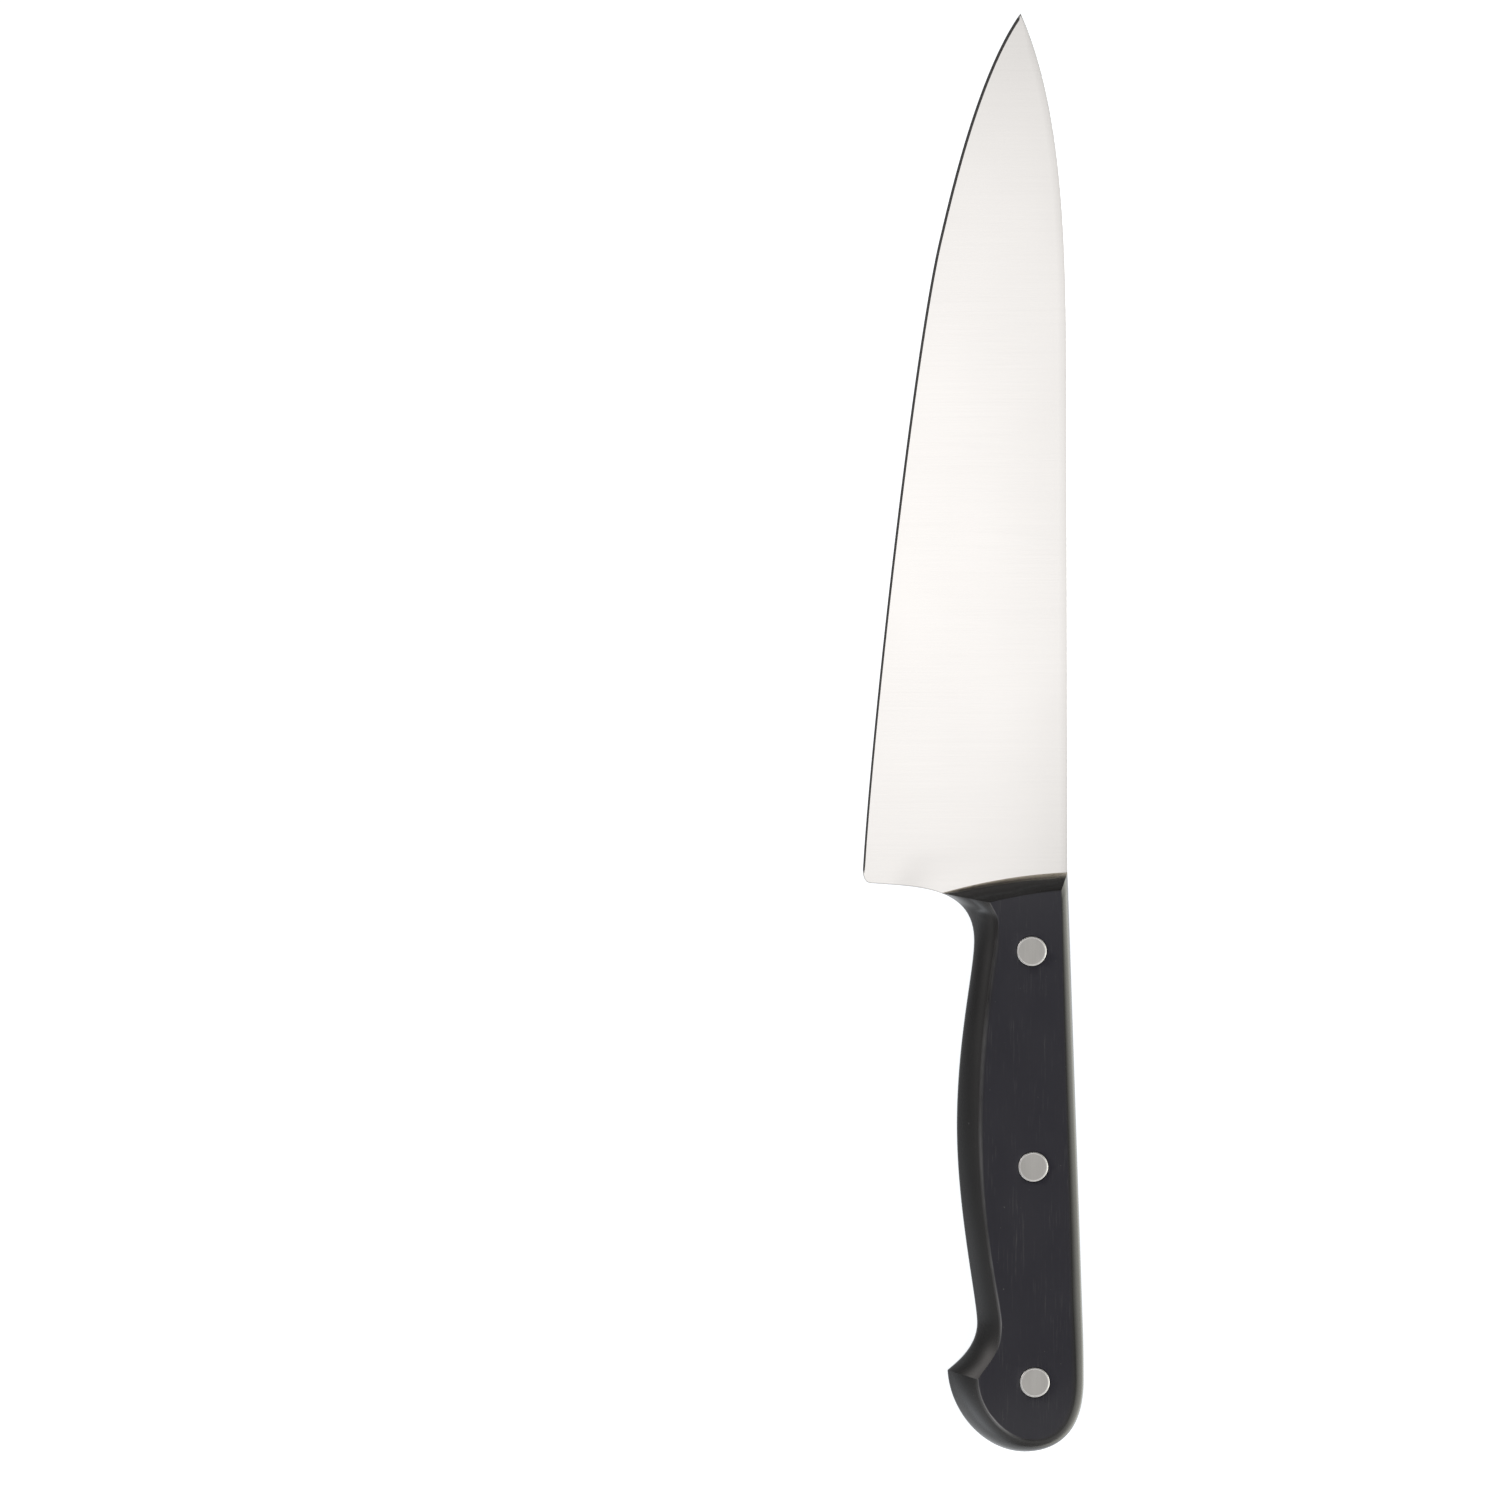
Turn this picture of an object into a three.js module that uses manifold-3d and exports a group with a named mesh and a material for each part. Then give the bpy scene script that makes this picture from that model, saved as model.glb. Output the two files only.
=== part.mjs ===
// Chef knife: a full-tang blade, two riveted handle scales and three two-piece cutlery rivets.
// Millimetres. The knife lies on its right side: +Y runs along it to the tip, +X points to the
// back (spine) of the blade, -X to the cutting edge, and +Z comes up out of the left side.
// It is drawn from a datum at the handle's front end on the back, with Z = 0 in the middle of the
// steel, and the finished group is moved so that the origin is under the middle of its box.

import * as THREE from 'three';
import { mergeVertices } from 'three/addons/utils/BufferGeometryUtils.js';
import Module from 'manifold-3d';

const wasm = await Module();
wasm.setup();

// ---------------------------------------------------------------- driving dimensions

const BLADE_LENGTH = 200;          // datum to tip
const HANDLE_LENGTH = 134.75;      // datum to butt
const EDGE_X = -47.45;             // the cutting edge at the heel
const STEEL_THICKNESS = 2.2;       // the back of the blade, and the whole tang
const SCALE_THICKNESS = 7.8;

const APEX_HALF = 0.04;            // half thickness at the cutting edge
const SHOULDER_HALF = 0.15;        // half thickness behind the cutting bevel
const BEVEL_WIDTH = 0.6;
const GRIND_RUNOUT = 13;           // the ground faces rise to the tang's thickness over this length

const RIVET_NAMES = ['front', 'middle', 'rear'];
const RIVET_FIRST = [-8.2, -18.3];
const RIVET_STEP = [0.36, -50.15];
const HEAD_RADIUS = 3.55;
const HEAD_THICKNESS = 1.6;
const HEAD_RECESS = 0.03;          // a head's face lies this far below the scale's face
const SLEEVE_RADIUS = 2.4;
const SLEEVE_LENGTH = 12.6;        // its head included
const SHANK_RADIUS = 1.5;
const SHANK_LENGTH = 12;           // its head included
const FIT_CLEARANCE = 0.05;        // all round each head, sleeve and shank
const ROUND_SEGMENTS = 32;

const TANG_HALF = STEEL_THICKNESS / 2;
const FACE_Z = TANG_HALF + SCALE_THICKNESS;

// ---------------------------------------------------------------- curves

const vector = ([x, y]) => new THREE.Vector2(x, y);
const line = (...points) => new THREE.LineCurve(...points.map(vector));
const arc = (...points) => new THREE.QuadraticBezierCurve(...points.map(vector));
const sweep = (...points) => new THREE.CubicBezierCurve(...points.map(vector));

// A chain of curves as evenly spaced points, both ends included.
function spaced(curves, count) {
  const path = new THREE.CurvePath();
  curves.forEach((curve) => path.add(curve));
  return path.getSpacedPoints(count);
}

// A curve's points from one parameter to another, both ends included.
function stretch(curve, from, to, count) {
  return Array.from({ length: count + 1 }, (_, i) => curve.getPoint(from + ((to - from) * i) / count));
}

// The parameter at which a curve that runs towards +X passes x.
function parameterAtX(curve, x) {
  let low = 0;
  let high = 1;
  for (let halving = 0; halving < 40; halving += 1) {
    const middle = (low + high) / 2;
    if (curve.getPoint(middle).x < x) low = middle;
    else high = middle;
  }
  return low;
}

// The other coordinate of a polyline whose `along` coordinate rises, held level past its ends.
function readPolyline(points, along, across, value) {
  const first = points[0];
  const last = points[points.length - 1];
  if (value <= first[along]) return first[across];
  if (value >= last[along]) return last[across];
  const next = points.findIndex((p) => p[along] > value);
  const a = points[next - 1];
  const b = points[next];
  return THREE.MathUtils.mapLinear(value, a[along], b[along], a[across], b[across]);
}

// ---------------------------------------------------------------- outline of the steel

const TIP = [-10.75, BLADE_LENGTH];
const EDGE_MID = [-29.7, 146.9];
const HEEL_TOP = [EDGE_X, 0.6];
const HEEL_FOOT = [-45.6, -2.5];
const FINGER = [-21.57, -15.8];    // bottom of the finger hollow
const BELLY = [-25.57, -59];       // widest point of the grip
const WAIST = [-20.85, -104.8];    // narrowest point, before the hook
const HOOK = [-27.75, -115.8];     // point of the hook at the butt
const BUTT = [-9.9, -HANDLE_LENGTH];
const BUTT_BACK = [3.9, -118];
const BACK_REAR = [3.75, -107];
const BACK_TURN = [0.29, -4];
const DATUM_BACK = [0.15, 0];
const BACK_MID = [-0.1, 110];      // the back is straight as far as here, then falls to the tip
const SCALE_FOOT_X = -29.2;        // the scales' front ends meet the choil here

const choil = sweep(HEEL_FOOT, [-34.7, -3.35], [-21.57, -3.15], FINGER);
const footParameter = parameterAtX(choil, SCALE_FOOT_X);
const scaleFoot = choil.getPoint(footParameter).toArray();

const edgePoints = spaced([
  sweep(TIP, [-20.9, 185.8], [-27.4, 156.6], EDGE_MID),
  sweep(EDGE_MID, [-35.6, 121.6], [-45.5, 34], HEEL_TOP),
], 26);
const bladePoints = [
  ...spaced([sweep(BACK_MID, [-0.1, 143], [-0.4, 177], TIP)], 12),
  ...edgePoints,
  ...spaced([arc(HEEL_TOP, [EDGE_X, -2.4], HEEL_FOOT)], 5),
  ...stretch(choil, 0, footParameter, 5),
];

// ---------------------------------------------------------------- handle sections

// Border of a scale's flat face, corner by corner.
const FACE_FRONT = [-18, -7];
const FACE_FINGER = [-15.95, -16];
const FACE_BELLY = [-19.75, -60];
const FACE_WAIST = [-15.3, -105];
const FACE_HOOK = [-20.7, -117.9];
const FACE_BUTT = [-9.5, -131.7];
const FACE_BUTT_BACK = [-0.5, -118];
const FACE_BACK_REAR = [0.8, -95];
const FACE_BACK_TURN = [-1.28, -7];
const FACE_BACK = [-1.3, -4.2];

const GROUND = SCALE_THICKNESS - 0.4;   // a ground facet stops just above the tang
const ROUNDED_BUTT = 4.4;
const ROUNDED_BACK = 2;
const CRISP = 60;
const FIRM = 66;
const SOFT = 86;

// The handle's edge, once round. Each section pairs a stretch of the outline at the tang (outer)
// with the stretch of the face's border above it (inner). depth is how far the facet or rounding
// reaches down from the face at the section's two ends, and crease is the angle it has turned
// from upright where it meets the face: at 90 it would run smoothly into it.
const front = {
  outer: spaced([arc(DATUM_BACK, [-14.2, -0.6], scaleFoot)], 8),
  inner: spaced([arc(FACE_BACK, [-8.9, -4.75], FACE_FRONT)], 8),
  depth: [GROUND, GROUND],
  crease: [FIRM, FIRM],
};
const sections = [
  front,
  {
    outer: stretch(choil, footParameter, 1, 9),
    inner: spaced([arc(FACE_FRONT, [-16.4, -10.9], FACE_FINGER)], 9),
    depth: [GROUND, GROUND],
    crease: [FIRM, SOFT],
  },
  {
    outer: spaced([sweep(FINGER, [-21.57, -23], [-25.57, -38.5], BELLY)], 8),
    inner: spaced([sweep(FACE_FINGER, [-16.2, -20], [-19.7, -36], FACE_BELLY)], 8),
    depth: [GROUND, GROUND],
    crease: [SOFT, FIRM],
  },
  {
    outer: spaced([sweep(BELLY, [-25.57, -78.4], [-20.85, -99.5], WAIST)], 9),
    inner: spaced([sweep(FACE_BELLY, [-19.75, -84], [-15.3, -100.5], FACE_WAIST)], 9),
    depth: [GROUND, GROUND],
    crease: [FIRM, CRISP],
  },
  {
    outer: spaced([sweep(WAIST, [-20.85, -110.7], [-26.3, -114.5], HOOK)], 7),
    inner: spaced([sweep(FACE_WAIST, [-15.3, -112], [-17.5, -113], FACE_HOOK)], 7),
    depth: [GROUND, GROUND],
    crease: [CRISP, CRISP],
  },
  {
    outer: spaced([sweep(HOOK, [-27.2, -125.7], [-19, -HANDLE_LENGTH], BUTT)], 10),
    inner: spaced([sweep(FACE_HOOK, [-20.2, -127.5], [-11.8, -131.7], FACE_BUTT)], 10),
    depth: [GROUND, ROUNDED_BUTT],
    crease: [CRISP, SOFT],
  },
  {
    outer: spaced([sweep(BUTT, [-3.5, -HANDLE_LENGTH], [3.9, -131.5], BUTT_BACK)], 10),
    inner: spaced([sweep(FACE_BUTT, [-4.5, -131.7], [-0.7, -126], FACE_BUTT_BACK)], 10),
    depth: [ROUNDED_BUTT, ROUNDED_BUTT],
    crease: [SOFT, SOFT],
  },
  {
    outer: spaced([arc(BUTT_BACK, [3.9, -111.4], BACK_REAR), line(BACK_REAR, BACK_TURN)], 12),
    inner: spaced([
      sweep(FACE_BUTT_BACK, [0.4, -110], [0.9, -104], FACE_BACK_REAR),
      sweep(FACE_BACK_REAR, [0.6, -75], [-0.9, -35], FACE_BACK_TURN),
    ], 12),
    depth: [ROUNDED_BUTT, ROUNDED_BACK],
    crease: [SOFT, SOFT],
  },
  {
    outer: spaced([line(BACK_TURN, DATUM_BACK)], 2),
    inner: spaced([line(FACE_BACK_TURN, FACE_BACK)], 2),
    depth: [ROUNDED_BACK, GROUND],
    crease: [SOFT, FIRM],
  },
];

// ---------------------------------------------------------------- solids and cuts

// A closed solid between two rings of points with the same count, layer by layer. Each layer is an
// array of [x, y, z], counter-clockwise seen from above, the lowest layer first.
function stackLayers(layers) {
  const count = layers[0].length;
  const positions = layers.flat(2);
  const index = [];
  layers.slice(1).forEach((_, level) => {
    for (let i = 0; i < count; i += 1) {
      const a = level * count + i;
      const b = level * count + ((i + 1) % count);
      index.push(a, b, b + count, a, b + count, a + count);
    }
  });
  const cap = (layer, base, flip) => {
    const contour = layer.map(vector);
    THREE.ShapeUtils.triangulateShape(contour, []).forEach(([a, b, c]) => {
      index.push(...(flip ? [base + a, base + c, base + b] : [base + a, base + b, base + c]));
    });
  };
  cap(layers[0], 0, true);
  cap(layers[layers.length - 1], (layers.length - 1) * count, false);
  return makeGeometry(positions, index);
}

function makeGeometry(positions, index) {
  const geometry = new THREE.BufferGeometry();
  geometry.setAttribute('position', new THREE.BufferAttribute(new Float32Array(positions), 3));
  geometry.setIndex(index);
  return geometry;
}

// The same solid on the other side of the steel.
function mirrorSide(geometry) {
  const mirrored = geometry.clone().scale(1, 1, -1);
  const index = Array.from(mirrored.index.array);
  for (let i = 0; i < index.length; i += 3) {
    [index[i + 1], index[i + 2]] = [index[i + 2], index[i + 1]];
  }
  mirrored.setIndex(index);
  return mirrored;
}

function toSolid(geometry) {
  const bare = geometry.clone();
  bare.deleteAttribute('normal');
  bare.deleteAttribute('uv');
  const merged = mergeVertices(bare);
  return new wasm.Manifold(new wasm.Mesh({
    numProp: 3,
    vertProperties: merged.attributes.position.array,
    triVerts: new Uint32Array(merged.index.array),
  }));
}

function cut(geometry, tools) {
  const solid = tools.reduce((rest, tool) => rest.subtract(toSolid(tool)), toSolid(geometry));
  const mesh = solid.getMesh();
  return makeGeometry(mesh.vertProperties, Array.from(mesh.triVerts));
}

// A round bar along Z, between two heights, at [x, y].
function bar([x, y], radius, bottom, top) {
  const geometry = new THREE.CylinderGeometry(radius, radius, top - bottom, ROUND_SEGMENTS);
  return geometry.rotateX(Math.PI / 2).translate(x, y, (bottom + top) / 2);
}

// ---------------------------------------------------------------- blade and tang

const rivetPlaces = RIVET_NAMES.map((_, i) =>
  [RIVET_FIRST[0] + i * RIVET_STEP[0], RIVET_FIRST[1] + i * RIVET_STEP[1]]);

const BORE_OVERRUN = 1;
const boreThrough = (place, reach) =>
  bar(place, SLEEVE_RADIUS + FIT_CLEARANCE, -reach - BORE_OVERRUN, reach + BORE_OVERRUN);

const risingEdge = [...edgePoints].reverse();
const risingFront = [...front.outer].reverse();
const groundSlope = (TANG_HALF - SHOULDER_HALF) / (-EDGE_X - BEVEL_WIDTH);

// Half the steel's thickness at a point in the plan, where the grinding has taken it down: a
// cutting bevel, then one flat slope up to the back. Near the scales it rises to `full`.
function groundHalf(x, y, full) {
  const inward = x - readPolyline(risingEdge, 'y', 'x', y);
  const bevel = THREE.MathUtils.mapLinear(Math.max(inward, 0), 0, BEVEL_WIDTH, APEX_HALF, SHOULDER_HALF);
  const flat = SHOULDER_HALF + groundSlope * (inward - BEVEL_WIDTH);
  const ahead = Math.hypot(Math.max(y - readPolyline(risingFront, 'x', 'y', x), 0),
    Math.max(scaleFoot[0] - x, 0));
  const share = THREE.MathUtils.smoothstep(ahead, 0, GRIND_RUNOUT);
  return THREE.MathUtils.lerp(full, inward < BEVEL_WIDTH ? bevel : flat, share);
}

// What the grinding takes off the upper side: a block whose underside is the ground surface.
function grindingBlock() {
  const insets = [-3, 0, BEVEL_WIDTH, 5, 10, 15, 20, 25, 30, 35, 40, 45, 52];
  const stations = [-20, -14, -10, -7, -5, -3, -1.5, ...risingEdge.map((p) => p.y), BLADE_LENGTH + 4];
  const clearOfTang = TANG_HALF + 0.06;
  const blockTop = 5;
  const columns = insets.length;
  const lower = stations.flatMap((y) => insets.map((inset) => {
    const x = readPolyline(risingEdge, 'y', 'x', y) + inset;
    return [x, y, groundHalf(x, y, clearOfTang)];
  }));
  const positions = [...lower, ...lower.map(([x, y]) => [x, y, blockTop])].flat();
  const index = [];
  const top = lower.length;
  const quad = (a, b, c, d) => index.push(a, b, c, a, c, d);
  for (let row = 0; row < stations.length - 1; row += 1) {
    for (let column = 0; column < columns - 1; column += 1) {
      const a = row * columns + column;
      quad(a, a + columns, a + columns + 1, a + 1);
      quad(top + a, top + a + 1, top + a + columns + 1, top + a + columns);
    }
    const left = row * columns;
    const right = left + columns - 1;
    quad(left, top + left, top + left + columns, left + columns);
    quad(right, right + columns, top + right + columns, top + right);
  }
  const lastRow = (stations.length - 1) * columns;
  for (let column = 0; column < columns - 1; column += 1) {
    const near = column;
    const far = lastRow + column;
    quad(near, near + 1, top + near + 1, top + near);
    quad(far, top + far, top + far + 1, far + 1);
  }
  return makeGeometry(positions, index);
}

function bladeGeometry() {
  const handleOutline = sections.slice(1).flatMap((section) => section.outer.slice(0, -1));
  const outline = [...bladePoints.slice(0, -1), ...handleOutline, vector(DATUM_BACK)];
  const distinct = outline.filter((p, i) => i === 0 || p.distanceTo(outline[i - 1]) > 1e-6);
  const plate = new THREE.ExtrudeGeometry(new THREE.Shape(distinct), {
    depth: STEEL_THICKNESS,
    bevelEnabled: false,
  }).translate(0, 0, -TANG_HALF);
  const block = grindingBlock();
  const holes = rivetPlaces.map((place) => boreThrough(place, TANG_HALF));
  return cut(plate, [block, mirrorSide(block), ...holes]);
}

// ---------------------------------------------------------------- scales

// Rings of a scale, from the tang up to the flat face.
function scaleLayers() {
  const rounds = 5;
  const lerp = THREE.MathUtils.lerp;
  const ringAt = (level) => sections.flatMap(({ outer, inner, depth, crease }) =>
    outer.slice(0, -1).map((foot, i) => {
      const along = i / (outer.length - 1);
      const reach = lerp(depth[0], depth[1], along);
      const lastAngle = THREE.MathUtils.degToRad(lerp(crease[0], crease[1], along));
      const angle = (lastAngle * Math.max(level - 1, 0)) / (rounds - 1);
      const inward = (1 - Math.cos(angle)) / (1 - Math.cos(lastAngle));
      const rise = Math.sin(angle) / Math.sin(lastAngle);
      const z = level === 0 ? TANG_HALF : FACE_Z - reach * (1 - rise);
      return [lerp(foot.x, inner[i].x, inward), lerp(foot.y, inner[i].y, inward), z];
    }));
  return Array.from({ length: rounds + 1 }, (_, level) => ringAt(level));
}

function scaleGeometry() {
  const seatZ = FACE_Z - HEAD_RECESS - HEAD_THICKNESS;
  const tools = rivetPlaces.flatMap((place) => [
    boreThrough(place, FACE_Z),
    bar(place, HEAD_RADIUS + FIT_CLEARANCE, seatZ, FACE_Z + BORE_OVERRUN),
  ]);
  return cut(stackLayers(scaleLayers()), tools);
}

// ---------------------------------------------------------------- rivets

// A turned piece from a half profile of [radius, z], standing at [x, y].
function turned([x, y], profile) {
  const geometry = new THREE.LatheGeometry(profile.map(vector), ROUND_SEGMENTS);
  return geometry.rotateX(Math.PI / 2).translate(x, y, 0);
}

const HEAD_TOP = FACE_Z - HEAD_RECESS;
const HEAD_SEAT = HEAD_TOP - HEAD_THICKNESS;

// The solid half: its head is in the left scale and its shank runs down into the sleeve.
const postGeometry = (place) => turned(place, [
  [0, HEAD_TOP - SHANK_LENGTH],
  [SHANK_RADIUS, HEAD_TOP - SHANK_LENGTH],
  [SHANK_RADIUS, HEAD_SEAT],
  [HEAD_RADIUS, HEAD_SEAT],
  [HEAD_RADIUS, HEAD_TOP],
  [0, HEAD_TOP],
]);

// The hollow half: its head is in the right scale and its sleeve comes up through the tang.
const sleeveGeometry = (place) => turned(place, [
  [0, -HEAD_TOP],
  [HEAD_RADIUS, -HEAD_TOP],
  [HEAD_RADIUS, -HEAD_SEAT],
  [SLEEVE_RADIUS, -HEAD_SEAT],
  [SLEEVE_RADIUS, -HEAD_TOP + SLEEVE_LENGTH],
  [SHANK_RADIUS + FIT_CLEARANCE, -HEAD_TOP + SLEEVE_LENGTH],
  [SHANK_RADIUS + FIT_CLEARANCE, -HEAD_SEAT],
  [0, -HEAD_SEAT],
]);

// ---------------------------------------------------------------- assembly

const knife = new THREE.Group();

function add(name, geometry, material) {
  const mesh = new THREE.Mesh(geometry, material);
  mesh.name = name;
  knife.add(mesh);
}

const steel = () => new THREE.MeshStandardMaterial({ color: 0xdedbd6, roughness: 0.3, metalness: 1 });
const polymer = () => new THREE.MeshStandardMaterial({ color: 0x2b2a2d, roughness: 0.5, metalness: 0 });
const rivetSteel = () => new THREE.MeshStandardMaterial({ color: 0xa3a09b, roughness: 0.4, metalness: 1 });

add('blade', bladeGeometry(), steel());
const leftScale = scaleGeometry();
add('handle_scale_left', leftScale, polymer());
add('handle_scale_right', mirrorSide(leftScale), polymer());
rivetPlaces.forEach((place, i) => {
  add(`rivet_${RIVET_NAMES[i]}_post`, postGeometry(place), rivetSteel());
  add(`rivet_${RIVET_NAMES[i]}_sleeve`, sleeveGeometry(place), rivetSteel());
});

const box = new THREE.Box3().setFromObject(knife);
const middle = box.getCenter(new THREE.Vector3());
knife.position.set(-middle.x, -middle.y, -box.min.z);

export default knife;
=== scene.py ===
"""Chef knife: the finished surfaces and materials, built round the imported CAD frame.

The shapes are drawn in millimetres from a datum at the handle's front end on the knife's back:
+Y runs to the tip, +X to the back of the blade, and z is measured from the middle of the steel.
`place` turns such points into the row's metres.
"""

import math
from typing import NamedTuple

import bpy
import numpy as np
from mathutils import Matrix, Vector
from mathutils.geometry import delaunay_2d_cdt


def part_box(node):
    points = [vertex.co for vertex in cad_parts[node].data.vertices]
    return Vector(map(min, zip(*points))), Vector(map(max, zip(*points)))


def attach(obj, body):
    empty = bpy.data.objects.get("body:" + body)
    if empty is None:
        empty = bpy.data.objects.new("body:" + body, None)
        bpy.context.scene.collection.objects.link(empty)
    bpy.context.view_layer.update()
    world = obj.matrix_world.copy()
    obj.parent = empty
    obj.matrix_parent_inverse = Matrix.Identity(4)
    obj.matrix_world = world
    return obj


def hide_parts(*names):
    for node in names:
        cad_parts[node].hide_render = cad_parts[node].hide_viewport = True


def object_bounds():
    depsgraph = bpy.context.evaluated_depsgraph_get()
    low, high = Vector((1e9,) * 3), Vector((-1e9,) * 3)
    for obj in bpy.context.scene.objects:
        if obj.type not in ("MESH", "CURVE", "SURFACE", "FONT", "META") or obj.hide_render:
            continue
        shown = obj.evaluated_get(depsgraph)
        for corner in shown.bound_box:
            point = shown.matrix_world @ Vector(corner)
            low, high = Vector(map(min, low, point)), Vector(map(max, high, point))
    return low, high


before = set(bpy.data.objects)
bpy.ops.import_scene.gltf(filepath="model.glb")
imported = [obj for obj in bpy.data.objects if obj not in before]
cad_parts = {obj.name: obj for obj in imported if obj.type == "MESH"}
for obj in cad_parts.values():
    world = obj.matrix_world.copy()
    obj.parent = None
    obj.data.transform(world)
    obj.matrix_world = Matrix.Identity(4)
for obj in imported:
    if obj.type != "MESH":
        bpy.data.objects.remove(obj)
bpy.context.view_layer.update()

# ---------------------------------------------------------------- dimensions, in millimetres

MM = 0.001
BLADE_LENGTH = 200.0
HANDLE_LENGTH = 134.75
EDGE_X = -47.45

APEX_HALF = 0.01         # half the steel's thickness at the very edge, and inside the bevel
SHOULDER_HALF = 0.17
BEVEL_WIDTH = (0.5, 0.7) # at the heel, at the tip
GRIND_RUNOUT = 13.0      # how far ahead of the scales the steel starts to lose thickness
BACK_EASING = 0.1        # radius along the back, the heel and the choil
TANG_EASING = 0.05       # radius where the tang meets the scales

RIVET_NAMES = ("front", "middle", "rear")
RIVET_FIRST = np.array([-8.2, -18.3])
RIVET_STEP = np.array([0.36, -50.15])
RIVET_PLACES = [RIVET_FIRST + i * RIVET_STEP for i in range(len(RIVET_NAMES))]
HEAD_RADIUS = 3.5
HEAD_THICKNESS = 1.6
HEAD_RECESS = 0.03       # how far below the flat a head sits
BORE_CLEARANCE = 0.12
SLEEVE_RADIUS = 2.4
SHANK_RADIUS = 1.5
SHANK_CLEARANCE = 0.05

HANDLE_CENTRE = (-10, -67)       # where the soft boxes point

# The three thicknesses come from the frame.
blade_low, blade_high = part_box("blade")
scale_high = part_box("handle_scale_left")[1]
TANG_HALF = (blade_high.z - blade_low.z) / 2 / MM
FACE_Z = (scale_high.z - (blade_low.z + blade_high.z) / 2) / MM
SCALE_THICKNESS = FACE_Z - TANG_HALF

ORIGIN = np.array([
    blade_low.x - EDGE_X * MM,
    blade_high.y - BLADE_LENGTH * MM,
    (blade_low.z + blade_high.z) / 2,
])


def place(points):
    """Points of the drawing, in the row's metres."""
    return np.asarray(points, float) * MM + ORIGIN


# ---------------------------------------------------------------- curves

def bezier(*points, count=400):
    """A Bezier curve of any degree as count + 1 points."""
    control = np.array(points, float)
    degree = len(control) - 1
    t = np.linspace(0, 1, count + 1)[:, None]
    return sum(math.comb(degree, i) * t**i * (1 - t)**(degree - i) * p for i, p in enumerate(control))


def chain(*curves):
    """Curves end to end, as one polyline."""
    return np.vstack([curves[0]] + [c[1:] for c in curves[1:]])


def lengths(polyline):
    """Distance of each point from the start, along the polyline."""
    steps = np.hypot(*np.diff(polyline, axis=0).T)
    return np.concatenate([[0], np.cumsum(steps)])


def at_fractions(polyline, fractions):
    """Points at these shares of a polyline's length."""
    run = lengths(polyline)
    wanted = np.asarray(fractions) * run[-1]
    return np.column_stack([np.interp(wanted, run, polyline[:, k]) for k in (0, 1)])


def steps_with_close_ends(length, spacing, margin=0.22):
    """Shares from 0 to 1 with even spacing, and one short step at each end to keep ridges narrow."""
    count = max(3, round(length / spacing))
    inner = np.linspace(0, 1, count + 1)[1:-1]
    return np.concatenate([[0, margin / length], inner, [1 - margin / length, 1]])


def circle(x, y, radius, count, z):
    """Points of a level circle, counter-clockwise."""
    angles = np.linspace(0, 2 * math.pi, count, endpoint=False)
    return np.column_stack([x + radius * np.cos(angles), y + radius * np.sin(angles),
                            np.full(count, float(z))])


# ---------------------------------------------------------------- outline of the steel

TIP = (-10.75, BLADE_LENGTH)
EDGE_MID = (-29.7, 146.9)
HEEL_TOP = (EDGE_X, 0.6)
HEEL_FOOT = (-45.6, -2.5)
FINGER = (-21.57, -15.8)
BELLY = (-25.57, -59)
WAIST = (-20.85, -104.8)
HOOK = (-27.75, -115.8)
BUTT = (-9.9, -HANDLE_LENGTH)
BUTT_BACK = (3.9, -118)
BACK_REAR = (3.75, -107)
BACK_TURN = (0.29, -4)
DATUM_BACK = (0.15, 0)
BACK_MID = (-0.1, 110)
SCALE_FOOT_X = -29.2

choil = bezier(HEEL_FOOT, (-34.7, -3.35), (-21.57, -3.15), FINGER, count=2000)
foot_index = int(np.searchsorted(choil[:, 0], SCALE_FOOT_X))
SCALE_FOOT = tuple(choil[foot_index])
edge_line = chain(
    bezier(TIP, (-20.9, 185.8), (-27.4, 156.6), EDGE_MID),
    bezier(EDGE_MID, (-35.6, 121.6), (-45.5, 34), HEEL_TOP),
)
contact_line = bezier(DATUM_BACK, (-14.2, -0.6), SCALE_FOOT)

# Border of a scale's flat face, corner by corner.
FACE_FRONT = (-18, -7)
FACE_CORNER = (-16.4, -9.9)
FACE_FINGER = (-15.95, -16)
FACE_BELLY = (-19.75, -60)
FACE_WAIST = (-15.3, -105)
FACE_HOOK = (-20.7, -117.9)
FACE_BUTT = (-9.5, -131.7)
FACE_BUTT_BACK = (1.5, -118)
FACE_BACK_REAR = (0.85, -95)
FACE_BACK_TURN = (-1.28, -7)
FACE_BACK = (-1.3, -4.2)

# Tilts of the handle's edge from level, in degrees: at the outline, then at the flat's border.
UPRIGHT, STEEP, LEANING = 88, 52, 47
CRISP, FIRM, FAINT, SLIGHT, SOFT = 24, 21, 15, 14, 3

SEAM_FLARE = 1.2         # width of the hollow where the scales meet the blade


class Section(NamedTuple):
    """A stretch of the handle's edge. Each tuple holds values at even steps along it."""
    outer: np.ndarray        # outline at the tang
    inner: np.ndarray        # border of the flat face above it
    outer_tilt: tuple
    inner_tilt: tuple
    fillet: tuple            # how far the rounding between facet and flat reaches each way
    rubbing_and_highlight: tuple = (0,)       # how far the border is painted light: a painted highlight along the crease, with some rubbing
    flare: tuple = (0,)      # how far the hollow at the foot of the wall reaches in


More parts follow.
